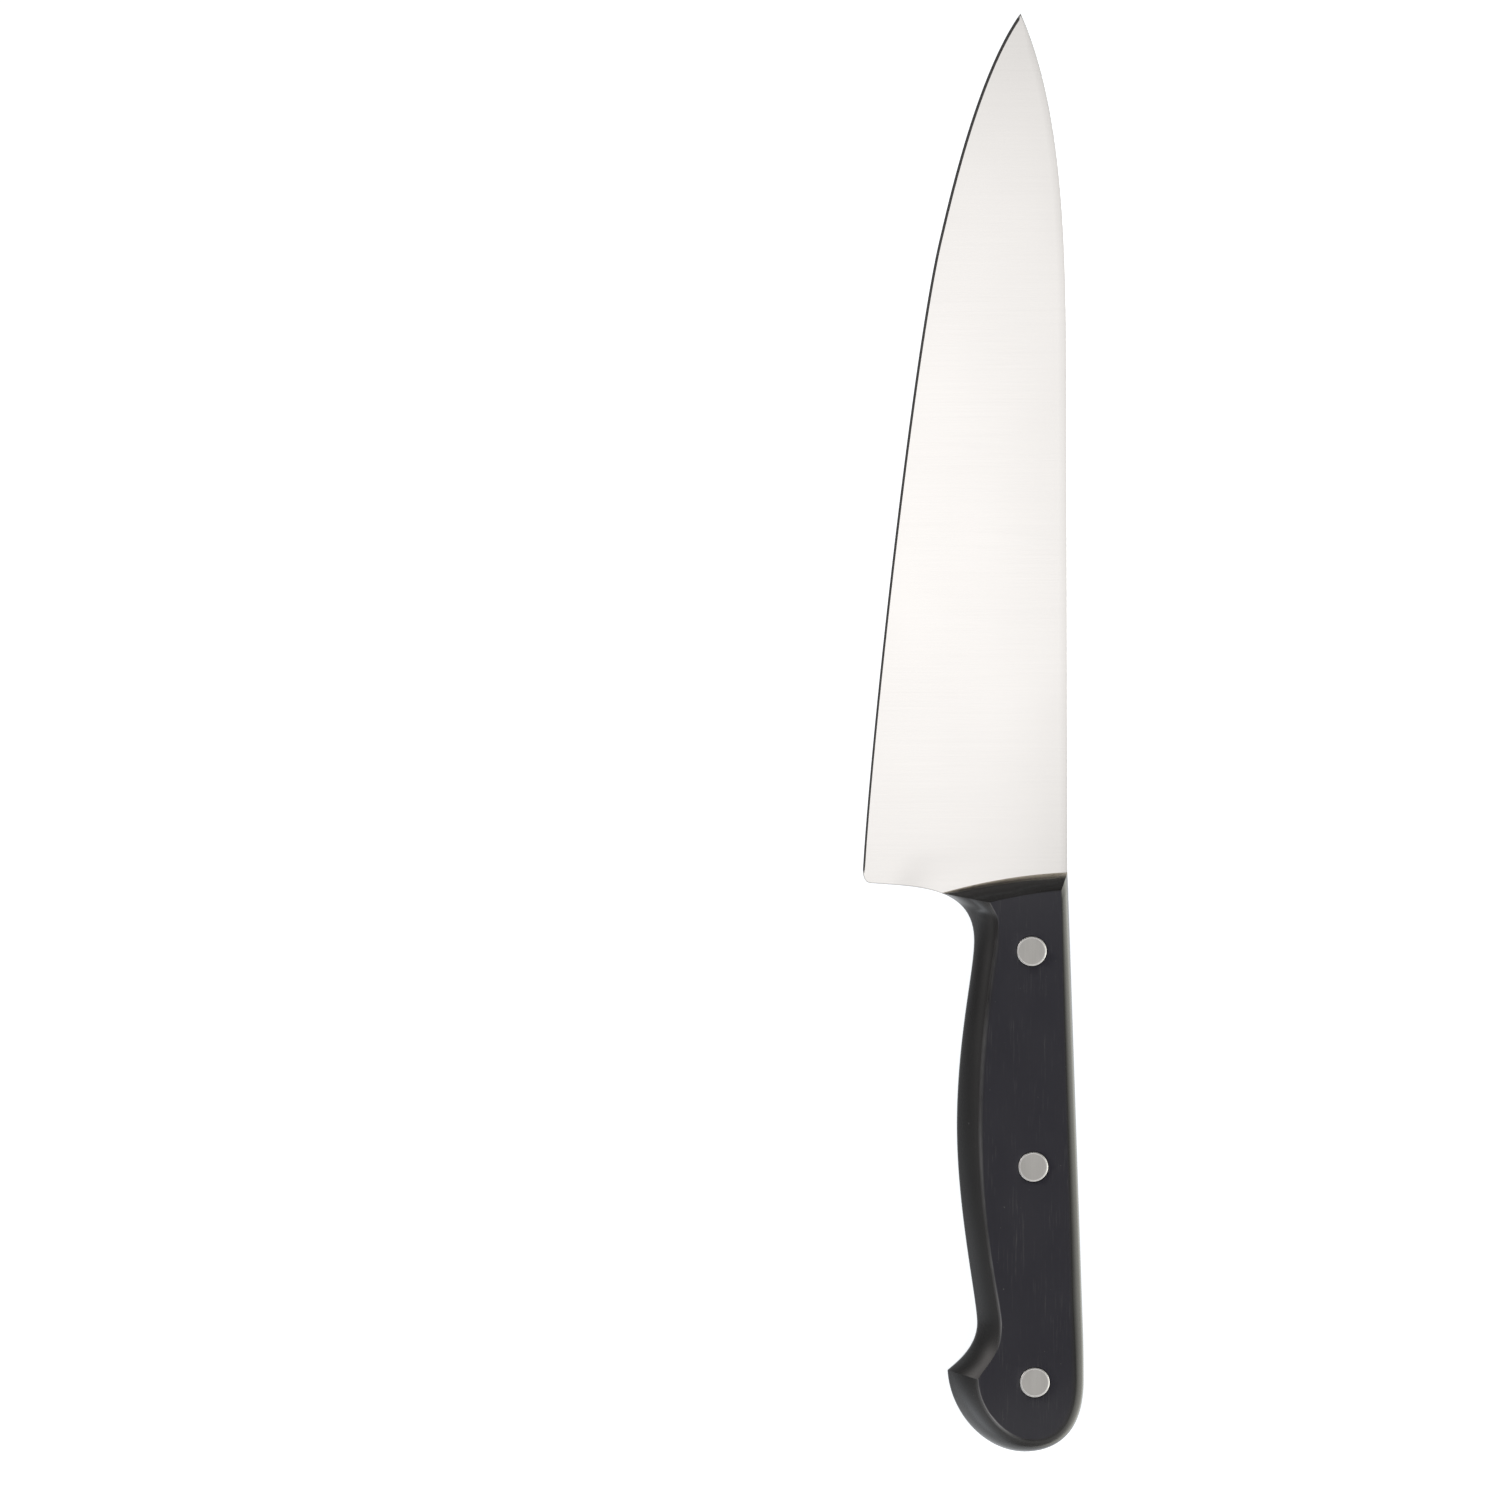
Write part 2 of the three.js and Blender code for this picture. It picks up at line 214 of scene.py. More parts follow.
# The handle's edge, once round.
SECTIONS = [
    Section(contact_line, bezier(FACE_BACK, (-8.9, -4.75), FACE_FRONT),
            (UPRIGHT,), (SLIGHT, CRISP, CRISP), (0.2, 0.08, 0.08),
            flare=(0, *[SEAM_FLARE] * 9, 0)),
    Section(choil[foot_index:],
            chain(bezier(FACE_FRONT, FACE_CORNER), bezier(FACE_CORNER, (-15.8, -11.5), FACE_FINGER)),
            (UPRIGHT, 66, 57, STEEP), (CRISP, FAINT, FAINT), (0.04, 0.05, 0.5),
            (0.45, 0.4, 0.08, 0.08, 0.12)),
    Section(bezier(FINGER, (-21.57, -23), (-25.57, -38.5), BELLY),
            bezier(FACE_FINGER, (-16.2, -20), (-19.7, -36), FACE_BELLY),
            (STEEP, LEANING), (FAINT, FIRM), (0.5, 0.4), (0.12, 0.22, 0.2)),
    Section(bezier(BELLY, (-25.57, -78.4), (-20.85, -99.5), WAIST),
            bezier(FACE_BELLY, (-19.75, -84), (-15.3, -100.5), FACE_WAIST),
            (LEANING,), (FIRM, CRISP), (0.4, 0.2, 0.04), (0.2, 0.27, 0.55)),
    Section(bezier(WAIST, (-20.85, -110.7), (-26.3, -114.5), HOOK),
            bezier(FACE_WAIST, (-15.3, -112), (-17.5, -113), FACE_HOOK),
            (LEANING,), (CRISP,), (0.04,), (0.55, 0.28, 0, 0, 0)),
    Section(bezier(HOOK, (-27.2, -125.7), (-19, -HANDLE_LENGTH), BUTT),
            bezier(FACE_HOOK, (-20.2, -127.5), (-11.8, -131.7), FACE_BUTT),
            (LEANING, UPRIGHT), (CRISP, FAINT), (0.04, 0.04, 0.3), (0.3, 0.8, 0.9, 0.4, 0)),
    Section(bezier(BUTT, (-3.5, -HANDLE_LENGTH), (3.9, -131.5), BUTT_BACK),
            bezier(FACE_BUTT, (-4.6, -132.6), (1.5, -130), FACE_BUTT_BACK),
            (UPRIGHT,), (FAINT, SOFT, SOFT), (0.3, 0.7, 0.7)),
    Section(chain(bezier(BUTT_BACK, (3.9, -111.4), BACK_REAR), bezier(BACK_REAR, BACK_TURN)),
            chain(bezier(FACE_BUTT_BACK, (1.5, -110), (0.95, -104), FACE_BACK_REAR),
                  bezier(FACE_BACK_REAR, (0.6, -75), (-0.9, -35), FACE_BACK_TURN)),
            (UPRIGHT,), (SOFT,), (0.7, 0.3, 0.3, 0.3, 0.3)),
    Section(bezier(BACK_TURN, DATUM_BACK), bezier(FACE_BACK_TURN, FACE_BACK),
            (UPRIGHT,), (SOFT, SLIGHT), (0.3, 0.2)),
]
FRONT_SECTION = 0
CORNER_SECTIONS = (0, 1, 5)      # these sections start at a sharp mitre

# ---------------------------------------------------------------- mesh tools

LEAST_AREA = 1e-6                # a triangle smaller than this lies along a straight border, outside it
BORDER_GAP, HOLE_GAP = 0.45, 0.3 # least distance of grid points from borders and holes, in spacings


class Builder:
    """Collects vertices, faces, sharp edges and per-vertex values, then makes one mesh object."""

    def __init__(self):
        self.points = []
        self.faces = []
        self.sharp = []
        self.values = {}

    def ring(self, points, **values):
        """Adds a run of points and returns their indices."""
        start = len(self.points)
        self.points.extend(np.asarray(points, float).tolist())
        for name in {**self.values, **values}:
            column = self.values.setdefault(name, [0.0] * start)
            column.extend(np.broadcast_to(values.get(name, 0.0), len(points)).tolist())
        return list(range(start, len(self.points)))

    def band(self, low, high, closed=True):
        """Quads between two rings of the same count; faces look outward when the rings run
        counter-clockwise seen from above and `high` is the upper or inner one."""
        count = len(low)
        for i in range(count if closed else count - 1):
            j = (i + 1) % count
            self.faces.append((low[i], low[j], high[j], high[i]))

    def mark_sharp(self, ring, closed=True):
        pairs = list(zip(ring, ring[1:] + ring[:1]))
        self.sharp.extend(pairs if closed else pairs[:-1])

    def flat_cap(self, border, holes, spacing, height=None, flip=False):
        """Fills a border ring, less its hole rings, with even triangles. height(x, y) gives z."""
        rings = [border, *holes]
        loops = [np.array([self.points[i][:2] for i in ring]) for ring in rings]
        grid = even_grid(loops, spacing)
        z = [height(x, y) if height else self.points[border[0]][2] for x, y in grid]
        index = [i for ring in rings for i in ring] + self.ring(np.column_stack([grid, z]))
        for triangle in triangles(loops, grid):
            face = tuple(index[i] for i in triangle)
            self.faces.append(face[::-1] if flip else face)

    def mirrored(self, shared):
        """Adds the same surface on the other side of z = 0. Vertices in `shared` are common."""
        shared = set(shared)
        mapping = {}
        for i in range(len(self.points)):
            if i in shared:
                mapping[i] = i
                continue
            x, y, z = self.points[i]
            values = {name: column[i] for name, column in self.values.items()}
            mapping[i] = self.ring([(x, y, -z)], **values)[0]
        self.faces += [tuple(mapping[i] for i in reversed(f)) for f in list(self.faces)]
        self.sharp += [(mapping[a], mapping[b]) for a, b in list(self.sharp)]

    def flipped(self):
        """The whole surface moved to the other side of z = 0."""
        self.points = [[x, y, -z] for x, y, z in self.points]
        self.faces = [tuple(reversed(f)) for f in self.faces]

    def make(self, name, material):
        mesh = bpy.data.meshes.new(name)
        mesh.from_pydata(place(self.points).tolist(), [], self.faces)
        mesh.shade_smooth()
        for key, column in self.values.items():
            attribute = mesh.attributes.new(key, "FLOAT", "POINT")
            attribute.data.foreach_set("value", np.array(column, np.float32))
        sharp = {frozenset(pair) for pair in self.sharp}
        flags = [frozenset(e.vertices) in sharp for e in mesh.edges]
        mesh.attributes.new("sharp_edge", "BOOLEAN", "EDGE").data.foreach_set("value", flags)
        mesh.materials.append(material)
        mesh.validate()
        piece = bpy.data.objects.new(name, mesh)
        bpy.context.scene.collection.objects.link(piece)
        return piece


def inside(points, polygon):
    """Whether each point is inside a polygon."""
    x, y = points[:, 0], points[:, 1]
    result = np.zeros(len(points), bool)
    for (x0, y0), (x1, y1) in zip(polygon, np.roll(polygon, -1, axis=0)):
        crosses = (y0 > y) != (y1 > y)
        if not crosses.any():
            continue
        at = x0 + (y - y0) / (y1 - y0 if y1 != y0 else 1) * (x1 - x0)
        result ^= crosses & (x < at)
    return result


def distance_to(points, polygon):
    """Distance of each point to a polygon's border."""
    best = np.full(len(points), np.inf)
    for a, b in zip(polygon, np.roll(polygon, -1, axis=0)):
        along = b - a
        share = np.clip(((points - a) @ along) / max(along @ along, 1e-12), 0, 1)
        best = np.minimum(best, np.hypot(*(points - a - share[:, None] * along).T))
    return best


def even_grid(loops, spacing):
    """Points in staggered rows inside the first loop, clear of its border and of the other loops."""
    low, high = loops[0].min(0), loops[0].max(0)
    xs = np.arange(low[0] + spacing / 2, high[0], spacing)
    ys = np.arange(low[1] + spacing / 2, high[1], spacing)
    grid = np.array([(x + (spacing / 4 if row % 2 else -spacing / 4), y)
                     for row, y in enumerate(ys) for x in xs])
    keep = inside(grid, loops[0]) & (distance_to(grid, loops[0]) > spacing * BORDER_GAP)
    for hole in loops[1:]:
        keep &= ~inside(grid, hole) & (distance_to(grid, hole) > spacing * HOLE_GAP)
    return grid[keep]


def triangles(loops, grid):
    """Triangles that fill the first loop less the others. They index the loops' points in order,
    then the grid's."""
    edges, start = [], 0
    for loop in loops:
        count = len(loop)
        edges += [(start + i, start + (i + 1) % count) for i in range(count)]
        start += count
    points = np.vstack([*loops, grid]).tolist()
    out, _, faces, origins, _, _ = delaunay_2d_cdt(points, edges, [], 0, 1e-7)
    corners = np.array([[out[i] for i in face] for face in faces])
    sides = corners[:, 1:] - corners[:, :1]
    areas = abs(sides[:, 0, 0] * sides[:, 1, 1] - sides[:, 0, 1] * sides[:, 1, 0]) / 2
    centres = corners.mean(1)
    good = inside(centres, loops[0]) & (areas > LEAST_AREA)
    for hole in loops[1:]:
        good &= ~inside(centres, hole)
    return [[origins[i][0] for i in face] for face, used in zip(faces, good) if used]


def inward_offsets(outline):
    """For each vertex of a counter-clockwise outline, the vector that moves it in by one."""
    before = outline - np.roll(outline, 1, axis=0)
    after = np.roll(outline, -1, axis=0) - outline
    unit = [v / np.hypot(*v.T)[:, None] for v in (before, after)]
    normals = [np.column_stack([-u[:, 1], u[:, 0]]) for u in unit]
    mean = normals[0] + normals[1]
    return 2 * mean / (mean * mean).sum(1)[:, None]


# ---------------------------------------------------------------- blade and tang

edge_rising = edge_line[::-1]
contact_rising = contact_line[::-1]
EDGE_STEPS = 3                   # steps over the cutting bevel or the easing
BACK_START = -11.0               # the back is what lies beyond this x
BACK_SHADE_STEPS = ((0.1, 0.9), (0.6, 0.55), (1.8, 0))     # distance in from the back, share of the painted shade along the back
ELSEWHERE_STEPS = (0.1, 0.08)    # distance in from other edges: least, and share of the above
GROUND_SLOPE = (TANG_HALF - SHOULDER_HALF) / (-EDGE_X - BEVEL_WIDTH[0])
TIP_SHOULDER = 0.1               # half the thickness inside the bevel at the tip itself
TIP_BLEND = 2.5                  # how far from the tip it reaches its usual value
MOST_EASING = 0.6                # as a share of half the thickness
BLADE_SPACING = 1.7              # of the points on the faces
STEEL_BORE_SEGMENTS = 48

# Widths that narrow to the tip: at the tip itself, and growth per millimetre away from it.
TIP_BEVEL = (0.3, 0.5)
TIP_EASING = (0.03, 0.3)
TIP_MARGIN = (0.02, 0.1)         # both grow with a step's distance in


def bevel_width(y):
    """Width of the cutting bevel at a distance along the blade."""
    return BEVEL_WIDTH[0] + (BEVEL_WIDTH[1] - BEVEL_WIDTH[0]) * y / BLADE_LENGTH


def ground_half(x, y):
    """Half the steel's thickness inside the cutting bevel: one flat slope up to the back, which
    rises to the tang's thickness just ahead of the scales."""
    inward = x - np.interp(y, edge_rising[:, 1], edge_rising[:, 0])
    from_tip = math.hypot(x - TIP[0], y - TIP[1])
    shoulder = np.interp(from_tip, [0, TIP_BLEND], [TIP_SHOULDER, SHOULDER_HALF])
    flat = shoulder + GROUND_SLOPE * max(inward - bevel_width(y), 0)
    ahead = math.hypot(max(y - np.interp(x, contact_rising[:, 0], contact_rising[:, 1]), 0),
                       max(SCALE_FOOT[0] - x, 0))
    t = min(ahead / GRIND_RUNOUT, 1)
    share = t * t * (3 - 2 * t)
    return min(TANG_HALF, TANG_HALF + (flat - TANG_HALF) * share)


def steel_outline():
    """The outline, counter-clockwise, with each vertex's share of cutting edge and easing radius."""
    def run(polyline, spacing):
        count = max(2, round(lengths(polyline)[-1] / spacing))
        return at_fractions(polyline, np.linspace(0, 1, count + 1)[:-1])

    parts = [
        (run(bezier(DATUM_BACK, BACK_MID), 2.5), 0, BACK_EASING),
        (run(bezier(BACK_MID, (-0.1, 143), (-0.4, 177), TIP), 1.5), 0, BACK_EASING),
        (run(edge_line, 1.5), 1, 0),
        (run(bezier(HEEL_TOP, (EDGE_X, -2.4), HEEL_FOOT), 0.3), 0, BACK_EASING),
        (run(choil[:foot_index + 1], 0.8), 0, BACK_EASING),
    ] + [(run(section.outer, 1.2), 0, TANG_EASING) for section in SECTIONS[1:]]
    outline = np.vstack([p for p, _, _ in parts])
    cutting = np.concatenate([np.full(len(p), c, float) for p, c, _ in parts])
    easing = np.concatenate([np.full(len(p), e, float) for p, _, e in parts])
    # The heel's corner eases out of the cutting edge over a few steps.
    first = sum(len(p) for p, _, _ in parts[:3])
    fade = 4
    cutting[first:first + fade] = np.linspace(1, 0, fade + 1)[1:] ** 0.5
    return outline, cutting, easing


def edge_rings(builder, outline, inward, cutting, bevel, easing, top):
    """Rings from the side of the steel up on to its face, over the cutting bevel or the easing."""
    rings = []
    for step in range(EDGE_STEPS + 1):
        share = step / EDGE_STEPS
        angle = math.radians(90 * step / EDGE_STEPS)
        inset = easing * (1 - math.cos(angle)) * (1 - cutting) + bevel * share * cutting
        eased_z = top - easing * (1 - math.sin(angle))
        bevel_z = APEX_HALF + (top - APEX_HALF) * share
        points = outline + inward * inset[:, None]
        z = eased_z * (1 - cutting) + bevel_z * cutting
        # the edges that do not cut carry the painted shade along the back
        rings.append(builder.ring(np.column_stack([points, z]), bevel=cutting, haze=1 - cutting))
    return rings


def margin_rings(builder, settled, inward, cutting, on_back, from_tip):
    """Rings on the face just inside the edge, over which the painted shade along the back fades."""
    rings = []
    least, share = ELSEWHERE_STEPS
    at_tip, growth = TIP_MARGIN
    for reach, haze in BACK_SHADE_STEPS:
        local = np.where(on_back, reach, least + share * reach)
        local = np.minimum(local, at_tip * (1 + reach) + growth * reach * from_tip)
        margin = settled + inward * local[:, None]
        heights = [ground_half(x, y) for x, y in margin]
        rings.append(builder.ring(np.column_stack([margin, heights]), haze=haze * (1 - cutting)))
    return rings


def steel_bores(builder):
    """Rings for the rivets' holes, on the tang's face and then at its middle."""
    bore = SLEEVE_RADIUS + BORE_CLEARANCE
    return [[builder.ring(circle(x, y, bore, STEEL_BORE_SEGMENTS, z)) for x, y in RIVET_PLACES]
            for z in (TANG_HALF, 0)]


def make_blade(material):
    """The steel: one half built up from the middle, and its mirror image below."""
    outline, cutting, easing = steel_outline()
    inward = inward_offsets(outline)
    from_tip = np.hypot(*(outline - np.array(TIP)).T)
    bevel = np.minimum(bevel_width(outline[:, 1]), TIP_BEVEL[0] + TIP_BEVEL[1] * from_tip)
    easing = np.minimum(easing, TIP_EASING[0] + TIP_EASING[1] * from_tip)
    settled = outline + inward * (bevel * cutting + easing * (1 - cutting))[:, None]
    top = np.array([ground_half(x, y) for x, y in settled])
    easing = np.minimum(easing, top * MOST_EASING)
    on_back = (cutting == 0) & (easing > TANG_EASING) & (outline[:, 0] > BACK_START)

    builder = Builder()
    middle = builder.ring(np.column_stack([outline, np.zeros(len(outline))]), bevel=cutting)
    rings = edge_rings(builder, outline, inward, cutting, bevel, easing, top)
    shoulder = rings[-1]
    rings += margin_rings(builder, settled, inward, cutting, on_back, from_tip)
    for low, high in zip([middle, *rings], rings):
        builder.band(low, high)
    for ring in (middle, rings[0], shoulder):
        builder.mark_sharp([i for i, c in zip(ring, cutting) if c > 0.5], closed=False)
    holes, walls = steel_bores(builder)
    builder.flat_cap(rings[-1], holes, BLADE_SPACING, height=ground_half)
    for hole, wall in zip(holes, walls):
        builder.mark_sharp(hole)
        builder.band(hole, wall)
    builder.mirrored(shared=middle + [i for wall in walls for i in wall])
    return builder.make("blade_finished", material)


# ---------------------------------------------------------------- handle scales

SEAM_WIDTH = 1.6         # how far in the dirt and the painted reflection of the blade reach, where the blade meets the scale
HIGHLIGHT_WIDTH = 0.12         # how far the painted highlight and rubbing reach from a border, besides its fillet
HIGHLIGHT_SHIFT = 0.8          # how far outside the border the painted highlight and rubbing are strongest, as a share of the fillet
RING_SPACING = 1.0       # of the points along a ring
PROFILE_STEPS = 14
FILLET_STEPS = 6
FLARE_STEPS = 5
LOWEST_FOOT = 0.35       # least height of the upright wall above the tang
MOST_FILLET = 0.3        # as a share of the facet's width
FACE_MARGIN = 0.2        # width of the flat ring inside the fillet
FACE_SPACING = 2.2       # of the points on the flat face, and on the side that meets the tang
SEAT_SPACING = 4.0
SCALE_BORE_SEGMENTS = 72


def profile(outer_tilt, inner_tilt, fillet, flare, width):
    """The handle's edge in section, from the tang up, as rows of (share of the way in, z): a wall
    that may be hollow, an arc between the two tilts, and a small fillet that joins it to the face."""
    steep, shallow = math.radians(outer_tilt), math.radians(inner_tilt)
    radius = (width - flare) / (math.sin(steep) - math.sin(shallow))
    drop = radius * (math.cos(shallow) - math.cos(steep))
    squash = min(1, (SCALE_THICKNESS - LOWEST_FOOT) / drop)
    reach = min(fillet, MOST_FILLET * width)
    near, last = (math.asin(math.sin(shallow) + away / radius) for away in (reach + HIGHLIGHT_WIDTH, reach))
    tilts = np.append(np.linspace(steep, near, PROFILE_STEPS), last)
    facet = np.column_stack([(flare + (math.sin(steep) - np.sin(tilts)) * radius) / width,
                             FACE_Z - squash * radius * (math.cos(shallow) - np.cos(tilts))])
    share = reach / width
    rounding = bezier(facet[-1], (1, FACE_Z), (1 + share, FACE_Z), count=FILLET_STEPS)[1:]
    foot_z = TANG_HALF + TANG_EASING
    wall = bezier((0, foot_z), (flare / width, foot_z), facet[0], count=FLARE_STEPS)[:-1]
    margin = [(1 + share + FACE_MARGIN / width, FACE_Z)]
    return np.vstack([wall, facet, rounding, margin])


def scale_rings():
    """Rings of points round a scale, counter-clockwise, from the tang up to the flat face. With them,
    the painted highlight and rubbing along the border, the seam's dirt and painted reflection of the
    blade at every point, and the places where a mitre starts."""
    columns, rubbed_and_highlit, grime_and_reflection_shares, mitres = [], [], [], []
    for index, section in enumerate(SECTIONS):
        if index in CORNER_SECTIONS:
            mitres.append(len(columns))
        shares = steps_with_close_ends(lengths(section.outer)[-1], RING_SPACING)
        feet, tops = at_fractions(section.outer, shares), at_fractions(section.inner, shares)
        for share, foot, top in zip(shares[:-1], feet[:-1], tops[:-1]):
            steep, shallow, fillet, rubbing_and_highlight, flare = (
                np.interp(share, np.linspace(0, 1, len(values)), values) for values in section[2:]
            )
            width = math.hypot(*(top - foot))
            rows = profile(steep, shallow, fillet, flare, width)
            columns.append(np.column_stack([foot + (top - foot) * rows[:, :1], rows[:, 1]]))
            # painted highlight along the flat's border, with some rubbing
            from_highlight = ((rows[:, 0] - 1) * width + HIGHLIGHT_SHIFT * fillet) / (HIGHLIGHT_WIDTH + fillet)
            rubbed_and_highlit.append(rubbing_and_highlight * np.clip(1 - from_highlight ** 2, 0, 1))
            # dirt and a painted reflection of the blade, fading in from the foot of the front wall
            grime_and_reflection = np.clip(1 - rows[:, 0] * width / SEAM_WIDTH, 0, 1) ** 2
            grime_and_reflection_shares.append(grime_and_reflection if index == FRONT_SECTION else 0 * grime_and_reflection)
    return np.array(columns).transpose(1, 0, 2), np.array(rubbed_and_highlit).T, np.array(grime_and_reflection_shares).T, mitres


def bore_steps():
    """A counterbored hole from the face down to the tang, as rows of (radius, z)."""
    seat = FACE_Z - HEAD_RECESS - HEAD_THICKNESS
    head, sleeve = HEAD_RADIUS + BORE_CLEARANCE, SLEEVE_RADIUS + BORE_CLEARANCE
    return [(head + 0.06, FACE_Z), (head + 0.015, FACE_Z - 0.02), (head, FACE_Z - 0.07),
            (head, seat), (sleeve, seat), (sleeve, TANG_HALF)]


def add_bores(builder):
    """The rivets' holes. Gives the rings where they cut the face and the side on the tang."""
    rims, feet = [], []
    for x, y in RIVET_PLACES:
        loops = [builder.ring(circle(x, y, radius, SCALE_BORE_SEGMENTS, z))
                 for radius, z in bore_steps()]
        for above, below in zip(loops, loops[1:]):
            builder.band(above, below)
        for loop in loops[3:]:
            builder.mark_sharp(loop)
        rims.append(loops[0])
        feet.append(loops[-1])
    return rims, feet


def make_scale(name, material, upper):
    """A scale: rings from the tang up to the flat face, which is capped, as is the side below."""
    rings, rubbed_and_highlit, grime_and_reflection_shares, mitres = scale_rings()
    builder = Builder()
    base = rings[0].copy()
    base[:, :2] += inward_offsets(base[:, :2]) * TANG_EASING
    base[:, 2] = TANG_HALF
    floor = builder.ring(base, ground=1)
    crease_ring = len(rings) - 2 - FILLET_STEPS // 2     # at the middle of the fillet
    levels = []
    for k, (ring, rubbing_and_highlight, grime_and_reflection) in enumerate(zip(rings, rubbed_and_highlit, grime_and_reflection_shares)):
        ground = np.clip((crease_ring - k) / FILLET_STEPS + 0.5, 0, 1)
        levels.append(builder.ring(ring, ground=ground, crease=rubbing_and_highlight, seam=grime_and_reflection))
    for low, high in zip([floor, *levels], levels):
        builder.band(low, high)
    for start in mitres:
        builder.mark_sharp([level[start] for level in levels[:crease_ring + 1]], closed=False)
    builder.mark_sharp(floor)
    rims, feet = add_bores(builder)
    builder.flat_cap(levels[-1], rims, FACE_SPACING)
    builder.flat_cap(floor, feet, SEAT_SPACING, flip=True)
    if not upper:
        builder.flipped()
    return builder.make(name, material)


# ---------------------------------------------------------------- rivets

def turned(name, x, y, steps, material, upper, segments=96):
    """A turned piece from (radius, z, rim) steps, from the middle of its top face down and in."""
    builder = Builder()
    rings = []
    first = builder.ring([(x, y, steps[0][1])], rim=steps[0][2])[0]
    for radius, z, rim in steps[1:-1]:
        rings.append(builder.ring(circle(x, y, radius, segments, z), rim=rim))
    last = builder.ring([(x, y, steps[-1][1])], rim=steps[-1][2])[0]
    for outer_ring, next_ring in zip(rings, rings[1:]):
        builder.band(next_ring, outer_ring)
    for i in range(segments):
        j = (i + 1) % segments
        builder.faces.append((first, rings[0][i], rings[0][j]))
        builder.faces.append((last, rings[-1][j], rings[-1][i]))
    if not upper:
        builder.flipped()
    return builder.make(name, material)


def head_steps(top):
    """The head from its middle to its seat: a flat face, a turned rim painted pale as a highlight, and a
    straight side.
    """
    seat = top - HEAD_THICKNESS
    return [
        (0, top, 0), (1.2, top, 0), (2.4, top, 0), (3.0, top, 0), (3.07, top - 0.002, 0.6),
        (3.14, top - 0.008, 1), (3.32, top - 0.03, 1), (3.42, top - 0.07, 1),
        (3.48, top - 0.14, 0.5), (HEAD_RADIUS, top - 0.25, 0), (HEAD_RADIUS, seat + 0.05, 0),
        (HEAD_RADIUS - 0.05, seat, 0),
    ]


def half_length(half):
    """The length of a rivet's post or sleeve, from the frame, in millimetres."""
    low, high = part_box(f"rivet_front_{half}")
    return (high.z - low.z) / MM


def post_steps(top):
    """The solid half: a head, and a shank with a lead at its end."""
    seat, end = top - HEAD_THICKNESS, top - half_length("post")
    return head_steps(top) + [
        (SHANK_RADIUS + 0.2, seat, 0), (SHANK_RADIUS, seat - 0.2, 0),
        (SHANK_RADIUS, end + 0.4, 0), (SHANK_RADIUS - 0.35, end, 0), (0, end, 0),
    ]


def sleeve_steps(top):
    """The hollow half: a head, and a sleeve whose bore takes the shank."""
    seat, end = top - HEAD_THICKNESS, top - half_length("sleeve")
    bore = SHANK_RADIUS + SHANK_CLEARANCE
    return head_steps(top) + [
        (SLEEVE_RADIUS + 0.15, seat, 0), (SLEEVE_RADIUS, seat - 0.15, 0),
        (SLEEVE_RADIUS, end + 0.2, 0), (SLEEVE_RADIUS - 0.2, end, 0),
        (bore + 0.2, end, 0), (bore, end + 0.2, 0), (bore, seat, 0), (0, seat, 0),
    ]


def make_rivets(material):
    """Each rivet's halves, the solid one from above, with the nodes they replace."""
    top = FACE_Z - HEAD_RECESS
    halves = [("post", post_steps(top), True), ("sleeve", sleeve_steps(top), False)]
    return [(turned(f"rivet_{name}_{half}_finished", x, y, steps, material, upper),
             f"rivet_{name}_{half}")
            for name, (x, y) in zip(RIVET_NAMES, RIVET_PLACES) for half, steps, upper in halves]


# ---------------------------------------------------------------- materials

